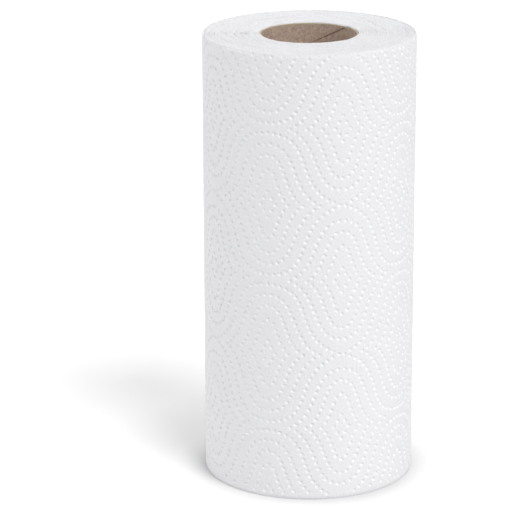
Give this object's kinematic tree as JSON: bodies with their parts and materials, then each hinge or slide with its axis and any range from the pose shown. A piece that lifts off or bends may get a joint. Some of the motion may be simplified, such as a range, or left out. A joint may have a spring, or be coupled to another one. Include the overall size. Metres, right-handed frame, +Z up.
{
  "type": "paper towel roll",
  "caption": "White embossed kitchen paper wound on a plain brown paperboard tube, standing on its end; the tube takes a holder's rod.",
  "frame": {"origin": "centre of the roll's lower end, on the floor it stands on", "axes": "+Z up along the roll's axis and the tube's bore; -Y is the side that the picture shows; the free edge of the last sheet is at the back, on +Y"},
  "size_m": [0.1056, 0.1058, 0.225],
  "materials": {
    "tube_board": "uncoated brown paperboard, matt, with fine fibres",
    "towel_paper": "soft white embossed tissue, matt"
  },
  "bodies": {
    "root": {"core_tube": "tube_board", "paper_roll": "towel_paper"}
  },
  "joints": []
}
